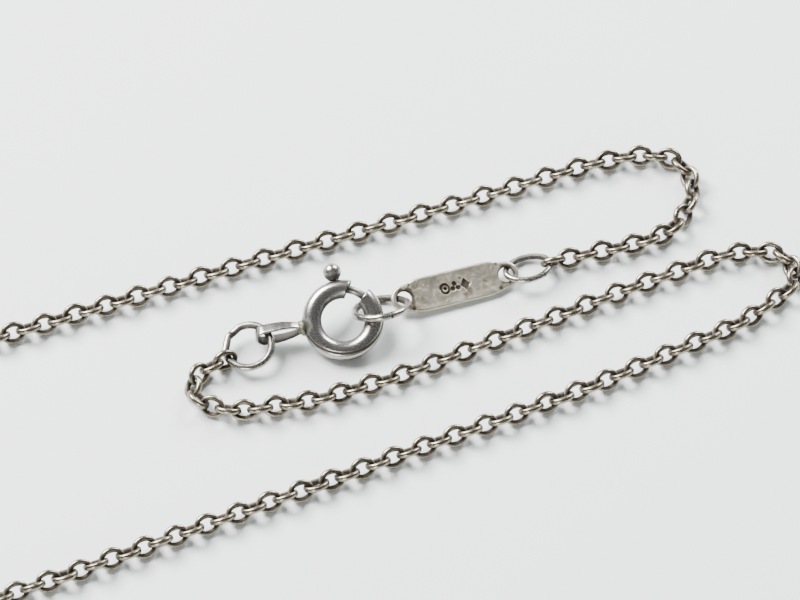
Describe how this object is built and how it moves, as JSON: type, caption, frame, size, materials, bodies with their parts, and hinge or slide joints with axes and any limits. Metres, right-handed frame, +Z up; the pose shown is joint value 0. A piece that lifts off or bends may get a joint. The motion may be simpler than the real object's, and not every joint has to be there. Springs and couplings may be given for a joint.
{
  "type": "chain necklace",
  "caption": "Fine cable-chain necklace laid flat in loose folds, closed by a sprung ring clasp that is linked to a flat pierced tag and wire rings.",
  "frame": {"origin": "the point of the surface under the middle of the laid-out necklace's bounding box", "axes": "+Z up from the surface it lies on; +X along the long strands, from the folded rest of the chain towards the loops beyond the tag; +Y away from the viewer"},
  "size_m": [0.0988, 0.0445, 0.004],
  "materials": {
    "chain_metal": "aged silver-coloured wire, dark in the crevices",
    "ring_metal": "worn polished wire",
    "clasp_metal": "polished, with fine wear",
    "tag_metal": "satin, speckled with age",
    "spring_steel": "bright drawn wire"
  },
  "bodies": {
    "clasp": {"clasp_tube": "clasp_metal", "clasp_spring": "spring_steel", "clasp_tab": "clasp_metal"},
    "bolt": {"clasp_bolt": "clasp_metal", "thumb_knob": "clasp_metal"},
    "tab_ring": {"tab_ring": "ring_metal"},
    "end_ring": {"end_ring": "ring_metal"},
    "quality_tag": {"quality_tag": "tag_metal"},
    "tag_ring": {"tag_ring": "ring_metal"},
    "tab_side_link_01": {"tab_side_link_01": "chain_metal"},
    "tab_side_link_02": {"tab_side_link_02": "chain_metal"},
    "tab_side_link_03": {"tab_side_link_03": "chain_metal"},
    "tab_side_link_04": {"tab_side_link_04": "chain_metal"},
    "tab_side_link_05": {"tab_side_link_05": "chain_metal"},
    "tab_side_link_06": {"tab_side_link_06": "chain_metal"},
    "tab_side_link_07": {"tab_side_link_07": "chain_metal"},
    "tab_side_link_08": {"tab_side_link_08": "chain_metal"},
    "tab_side_link_09": {"tab_side_link_09": "chain_metal"},
    "tab_side_link_10": {"tab_side_link_10": "chain_metal"},
    "tab_side_link_11": {"tab_side_link_11": "chain_metal"},
    "tab_side_link_12": {"tab_side_link_12": "chain_metal"},
    "tab_side_link_13": {"tab_side_link_13": "chain_metal"},
    "tab_side_link_14": {"tab_side_link_14": "chain_metal"},
    "tab_side_link_15": {"tab_side_link_15": "chain_metal"},
    "tab_side_link_16": {"tab_side_link_16": "chain_metal"},
    "tag_side_link_01": {"tag_side_link_01": "chain_metal"},
    "tag_side_link_02": {"tag_side_link_02": "chain_metal"},
    "tag_side_link_03": {"tag_side_link_03": "chain_metal"},
    "tag_side_link_04": {"tag_side_link_04": "chain_metal"},
    "tag_side_link_05": {"tag_side_link_05": "chain_metal"},
    "tag_side_link_06": {"tag_side_link_06": "chain_metal"},
    "tag_side_link_07": {"tag_side_link_07": "chain_metal"},
    "tag_side_link_08": {"tag_side_link_08": "chain_metal"},
    "tag_side_link_09": {"tag_side_link_09": "chain_metal"},
    "tag_side_link_10": {"tag_side_link_10": "chain_metal"},
    "tag_side_link_11": {"tag_side_link_11": "chain_metal"},
    "tag_side_link_12": {"tag_side_link_12": "chain_metal"},
    "tag_side_link_13": {"tag_side_link_13": "chain_metal"},
    "tag_side_link_14": {"tag_side_link_14": "chain_metal"},
    "tag_side_link_15": {"tag_side_link_15": "chain_metal"},
    "tag_side_link_16": {"tag_side_link_16": "chain_metal"},
    "tab_side_run_01": {"tab_side_run_01": "chain_metal"},
    "tab_side_run_02": {"tab_side_run_02": "chain_metal"},
    "tab_side_run_03": {"tab_side_run_03": "chain_metal"},
    "tab_side_run_04": {"tab_side_run_04": "chain_metal"},
    "tab_side_run_05": {"tab_side_run_05": "chain_metal"},
    "tab_side_run_06": {"tab_side_run_06": "chain_metal"},
    "tag_side_run_01": {"tag_side_run_01": "chain_metal"},
    "tag_side_run_02": {"tag_side_run_02": "chain_metal"},
    "tag_side_run_03": {"tag_side_run_03": "chain_metal"},
    "tag_side_run_04": {"tag_side_run_04": "chain_metal"},
    "tag_side_run_05": {"tag_side_run_05": "chain_metal"},
    "tag_side_run_06": {"tag_side_run_06": "chain_metal"},
    "tag_side_run_07": {"tag_side_run_07": "chain_metal"},
    "tag_side_run_08": {"tag_side_run_08": "chain_metal"},
    "tag_side_run_09": {"tag_side_run_09": "chain_metal"},
    "tag_side_run_10": {"tag_side_run_10": "chain_metal"}
  },
  "joints": [
    {"name": "bolt_slide", "type": "hinge", "parent": "clasp", "child": "bolt", "pos_m": [0.0131, 0.00573, 0.00174], "axis": [0, -0.4067, 0.9135], "range_deg": [0, 47], "stiffness_Nm_per_rad": 0.000002, "springref_deg": -20.05},
    {"name": "tab_ring_swing", "type": "hinge", "parent": "clasp", "child": "tab_ring", "pos_m": [0.007, 0.005, 0.00137], "axis": [-0.7193, 0.6947, 0], "range_deg": [-30, 30]},
    {"name": "end_ring_swing", "type": "hinge", "parent": "clasp", "child": "end_ring", "pos_m": [0.01551, 0.00596, 0.00184], "axis": [-0.1045, 0.9085, 0.4045], "range_deg": [-20, 20]},
    {"name": "tag_swing", "type": "hinge", "parent": "end_ring", "child": "quality_tag", "pos_m": [0.01772, 0.00799, 0.00102], "axis": [-0.5728, 0.5903, -0.5687], "range_deg": [-15, 15]},
    {"name": "tag_ring_swing", "type": "hinge", "parent": "quality_tag", "child": "tag_ring", "pos_m": [0.02576, 0.01059, 0.00073], "axis": [-0.2584, 0.8835, 0.3907], "range_deg": [-15, 20]},
    {"name": "tab_side_link_01_swing", "type": "hinge", "parent": "tab_ring", "child": "tab_side_link_01", "pos_m": [0.00422, 0.00288, 0.0008], "axis": [0.4876, -0.8717, -0.0483], "range_deg": [-40, 40]},
    {"name": "tab_side_link_02_swing", "type": "hinge", "parent": "tab_side_link_01", "child": "tab_side_link_02", "pos_m": [0.00323, 0.00227, 0.00083], "axis": [0.18, -0.3824, -0.9063], "range_deg": [-40, 40]},
    {"name": "tab_side_link_03_swing", "type": "hinge", "parent": "tab_side_link_02", "child": "tab_side_link_03", "pos_m": [0.00226, 0.00169, 0.00069], "axis": [-0.3816, 0.5953, -0.7071], "range_deg": [-40, 40]},
    {"name": "tab_side_link_04_swing", "type": "hinge", "parent": "tab_side_link_03", "child": "tab_side_link_04", "pos_m": [0.00155, 0.00069, 0.00069], "axis": [-0.5721, 0.4155, 0.7071], "range_deg": [-40, 40]},
    {"name": "tab_side_link_05_swing", "type": "hinge", "parent": "tab_side_link_04", "child": "tab_side_link_05", "pos_m": [0.0016, -0.0006, 0.00069], "axis": [0.7071, 0, 0.7071], "range_deg": [-40, 4]},
    {"name": "tab_side_link_06_swing", "type": "hinge", "parent": "tab_side_link_05", "child": "tab_side_link_06", "pos_m": [0.0026, -0.00152, 0.00069], "axis": [-0.5369, -0.4602, 0.7071], "range_deg": [-40, 4]},
    {"name": "tab_side_link_07_swing", "type": "hinge", "parent": "tab_side_link_06", "child": "tab_side_link_07", "pos_m": [0.00389, -0.00181, 0.00069], "axis": [-0.2592, -0.6579, -0.7071], "range_deg": [-40, 40]},
    {"name": "tab_side_link_08_swing", "type": "hinge", "parent": "tab_side_link_07", "child": "tab_side_link_08", "pos_m": [0.00515, -0.00188, 0.00069], "axis": [0.1, 0.7, -0.7071], "range_deg": [-40, 40]},
    {"name": "tab_side_link_09_swing", "type": "hinge", "parent": "tab_side_link_08", "child": "tab_side_link_09", "pos_m": [0.0064, -0.00182, 0.00069], "axis": [-0.0218, 0.7068, 0.7071], "range_deg": [-40, 40]},
    {"name": "tab_side_link_10_swing", "type": "hinge", "parent": "tab_side_link_09", "child": "tab_side_link_10", "pos_m": [0.0076, -0.00154, 0.00069], "axis": [-0.1209, 0.6967, -0.7071], "range_deg": [-40, 40]},
    {"name": "tab_side_link_11_swing", "type": "hinge", "parent": "tab_side_link_10", "child": "tab_side_link_11", "pos_m": [0.00881, -0.00128, 0.00069], "axis": [0.1271, -0.6956, -0.7071], "range_deg": [-40, 40]},
    {"name": "tab_side_link_12_swing", "type": "hinge", "parent": "tab_side_link_11", "child": "tab_side_link_12", "pos_m": [0.01004, -0.0011, 0.00069], "axis": [0.1162, -0.6975, 0.7071], "range_deg": [-40, 40]},
    {"name": "tab_side_link_13_swing", "type": "hinge", "parent": "tab_side_link_12", "child": "tab_side_link_13", "pos_m": [0.01126, -0.00084, 0.00069], "axis": [-0.1513, 0.6907, 0.7071], "range_deg": [-40, 40]},
    {"name": "tab_side_link_14_swing", "type": "hinge", "parent": "tab_side_link_13", "child": "tab_side_link_14", "pos_m": [0.01249, -0.00047, 0.00069], "axis": [0.191, -0.6808, 0.7071], "range_deg": [-40, 40]},
    {"name": "tab_side_link_15_swing", "type": "hinge", "parent": "tab_side_link_14", "child": "tab_side_link_15", "pos_m": [0.0137, -0.00007, 0.00069], "axis": [0.2166, -0.6731, -0.7071], "range_deg": [-40, 40]},
    {"name": "tab_side_link_16_swing", "type": "hinge", "parent": "tab_side_link_15", "child": "tab_side_link_16", "pos_m": [0.0149, 0.00036, 0.00069], "axis": [-0.2327, 0.6677, -0.7071], "range_deg": [-40, 40]},
    {"name": "tab_side_run_01_swing", "type": "hinge", "parent": "tab_side_link_16", "child": "tab_side_run_01", "pos_m": [0.01611, 0.00078, 0.00069], "axis": [-0.2268, 0.6697, 0.7071], "range_deg": [-20, 20]},
    {"name": "tab_side_run_02_swing", "type": "hinge", "parent": "tab_side_run_01", "child": "tab_side_run_02", "pos_m": [0.03277, 0.0081, 0.00069], "axis": [-0.2912, 0.6444, 0.7071], "range_deg": [-20, 20]},
    {"name": "tab_side_run_03_swing", "type": "hinge", "parent": "tab_side_run_02", "child": "tab_side_run_03", "pos_m": [0.04732, 0.01249, 0.00069], "axis": [-0.1727, -0.6857, -0.7071], "range_deg": [-20, 8]},
    {"name": "tab_side_run_04_swing", "type": "hinge", "parent": "tab_side_run_03", "child": "tab_side_run_04", "pos_m": [0.043, 0.00559, 0.00069], "axis": [-0.3655, 0.6053, -0.7071], "range_deg": [-20, 20]},
    {"name": "tab_side_run_05_swing", "type": "hinge", "parent": "tab_side_run_04", "child": "tab_side_run_05", "pos_m": [0.02446, -0.00301, 0.00069], "axis": [0.2718, -0.6528, 0.7071], "range_deg": [-20, 20]},
    {"name": "tab_side_run_06_swing", "type": "hinge", "parent": "tab_side_run_05", "child": "tab_side_run_06", "pos_m": [0.00566, -0.01086, 0.00069], "axis": [-0.274, 0.6519, -0.7071], "range_deg": [-20, 20]},
    {"name": "tag_side_link_01_swing", "type": "hinge", "parent": "tag_ring", "child": "tag_side_link_01", "pos_m": [0.02916, 0.01174, 0.0008], "axis": [0.3206, -0.8954, 0.309], "range_deg": [-40, 40]},
    {"name": "tag_side_link_02_swing", "type": "hinge", "parent": "tag_side_link_01", "child": "tag_side_link_02", "pos_m": [0.03031, 0.01198, 0.00083], "axis": [-0.1161, 0.4064, -0.9063], "range_deg": [-40, 40]},
    {"name": "tag_side_link_03_swing", "type": "hinge", "parent": "tag_side_link_02", "child": "tag_side_link_03", "pos_m": [0.03157, 0.01234, 0.00069], "axis": [-0.193, 0.6803, 0.7071], "range_deg": [-40, 40]},
    {"name": "tag_side_link_04_swing", "type": "hinge", "parent": "tag_side_link_03", "child": "tag_side_link_04", "pos_m": [0.03284, 0.0127, 0.00069], "axis": [-0.1897, 0.6812, -0.7071], "range_deg": [-40, 40]},
    {"name": "tag_side_link_05_swing", "type": "hinge", "parent": "tag_side_link_04", "child": "tag_side_link_05", "pos_m": [0.03412, 0.01303, 0.00069], "axis": [0.1776, -0.6844, -0.7071], "range_deg": [-40, 40]},
    {"name": "tag_side_link_06_swing", "type": "hinge", "parent": "tag_side_link_05", "child": "tag_side_link_06", "pos_m": [0.03535, 0.01333, 0.00069], "axis": [0.1761, -0.6848, 0.7071], "range_deg": [-40, 40]},
    {"name": "tag_side_link_07_swing", "type": "hinge", "parent": "tag_side_link_06", "child": "tag_side_link_07", "pos_m": [0.03656, 0.0137, 0.00069], "axis": [-0.2107, 0.675, 0.7071], "range_deg": [-40, 40]},
    {"name": "tag_side_link_08_swing", "type": "hinge", "parent": "tag_side_link_07", "child": "tag_side_link_08", "pos_m": [0.03768, 0.01417, 0.00069], "axis": [0.2626, -0.6565, 0.7071], "range_deg": [-40, 40]},
    {"name": "tag_side_link_09_swing", "type": "hinge", "parent": "tag_side_link_08", "child": "tag_side_link_09", "pos_m": [0.03873, 0.01478, 0.00069], "axis": [0.3593, -0.609, -0.7071], "range_deg": [-40, 40]},
    {"name": "tag_side_link_10_swing", "type": "hinge", "parent": "tag_side_link_09", "child": "tag_side_link_10", "pos_m": [0.03959, 0.01571, 0.00069], "axis": [-0.507, 0.4929, -0.7071], "range_deg": [-40, 40]},
    {"name": "tag_side_link_11_swing", "type": "hinge", "parent": "tag_side_link_10", "child": "tag_side_link_11", "pos_m": [0.04018, 0.01688, 0.00069], "axis": [-0.6088, 0.3597, 0.7071], "range_deg": [-40, 4]},
    {"name": "tag_side_link_12_swing", "type": "hinge", "parent": "tag_side_link_11", "child": "tag_side_link_12", "pos_m": [0.04057, 0.0181, 0.00069], "axis": [-0.6694, 0.2279, -0.7071], "range_deg": [-40, 40]},
    {"name": "tag_side_link_13_swing", "type": "hinge", "parent": "tag_side_link_12", "child": "tag_side_link_13", "pos_m": [0.04059, 0.01935, 0.00069], "axis": [0.7065, -0.0288, -0.7071], "range_deg": [-9, 40]},
    {"name": "tag_side_link_14_swing", "type": "hinge", "parent": "tag_side_link_13", "child": "tag_side_link_14", "pos_m": [0.04014, 0.02056, 0.00069], "axis": [0.6736, 0.215, 0.7071], "range_deg": [-40, 9]},
    {"name": "tag_side_link_15_swing", "type": "hinge", "parent": "tag_side_link_14", "child": "tag_side_link_15", "pos_m": [0.03925, 0.0215, 0.00069], "axis": [-0.542, -0.4541, 0.7071], "range_deg": [-40, 40]},
    {"name": "tag_side_link_16_swing", "type": "hinge", "parent": "tag_side_link_15", "child": "tag_side_link_16", "pos_m": [0.03808, 0.02195, 0.00069], "axis": [0.2954, 0.6425, 0.7071], "range_deg": [-40, 4]},
    {"name": "tag_side_run_01_swing", "type": "hinge", "parent": "tag_side_link_16", "child": "tag_side_run_01", "pos_m": [0.03685, 0.02191, 0.00069], "axis": [0.0751, 0.7031, -0.7071], "range_deg": [-20, 20]},
    {"name": "tag_side_run_02_swing", "type": "hinge", "parent": "tag_side_run_01", "child": "tag_side_run_02", "pos_m": [0.01956, 0.01642, 0.00069], "axis": [0.2304, -0.6685, 0.7071], "range_deg": [-20, 20]},
    {"name": "tag_side_run_03_swing", "type": "hinge", "parent": "tag_side_run_02", "child": "tag_side_run_03", "pos_m": [0.00238, 0.0105, 0.00069], "axis": [0.2351, -0.6669, 0.7071], "range_deg": [-20, 20]},
    {"name": "tag_side_run_04_swing", "type": "hinge", "parent": "tag_side_run_03", "child": "tag_side_run_04", "pos_m": [-0.01445, 0.00448, 0.00069], "axis": [0.2385, -0.6657, 0.7071], "range_deg": [-20, 0]},
    {"name": "tag_side_run_05_swing", "type": "hinge", "parent": "tag_side_run_04", "child": "tag_side_run_05", "pos_m": [-0.03101, 0.00333, 0.00069], "axis": [0.0087, 0.7071, 0.7071], "range_deg": [-20, 0]},
    {"name": "tag_side_run_06_swing", "type": "hinge", "parent": "tag_side_run_05", "child": "tag_side_run_06", "pos_m": [-0.04906, -0.00081, 0.00069], "axis": [-0.7009, 0.0934, 0.7071], "range_deg": [-20, 0]},
    {"name": "tag_side_run_07_swing", "type": "hinge", "parent": "tag_side_run_06", "child": "tag_side_run_07", "pos_m": [-0.04739, -0.02088, 0.00069], "axis": [0.501, 0.499, -0.7071], "range_deg": [-8, 20]},
    {"name": "tag_side_run_08_swing", "type": "hinge", "parent": "tag_side_run_07", "child": "tag_side_run_08", "pos_m": [-0.04085, -0.00091, 0.00069], "axis": [0.5016, -0.4984, -0.7071], "range_deg": [0, 20]},
    {"name": "tag_side_run_09_swing", "type": "hinge", "parent": "tag_side_run_08", "child": "tag_side_run_09", "pos_m": [-0.0343, -0.02088, 0.00069], "axis": [-0.5016, -0.4984, 0.7071], "range_deg": [-20, 20]},
    {"name": "tag_side_run_10_swing", "type": "hinge", "parent": "tag_side_run_09", "child": "tag_side_run_10", "pos_m": [-0.02776, -0.00091, 0.00069], "axis": [-0.5016, 0.4984, 0.7071], "range_deg": [-20, 0]}
  ]
}
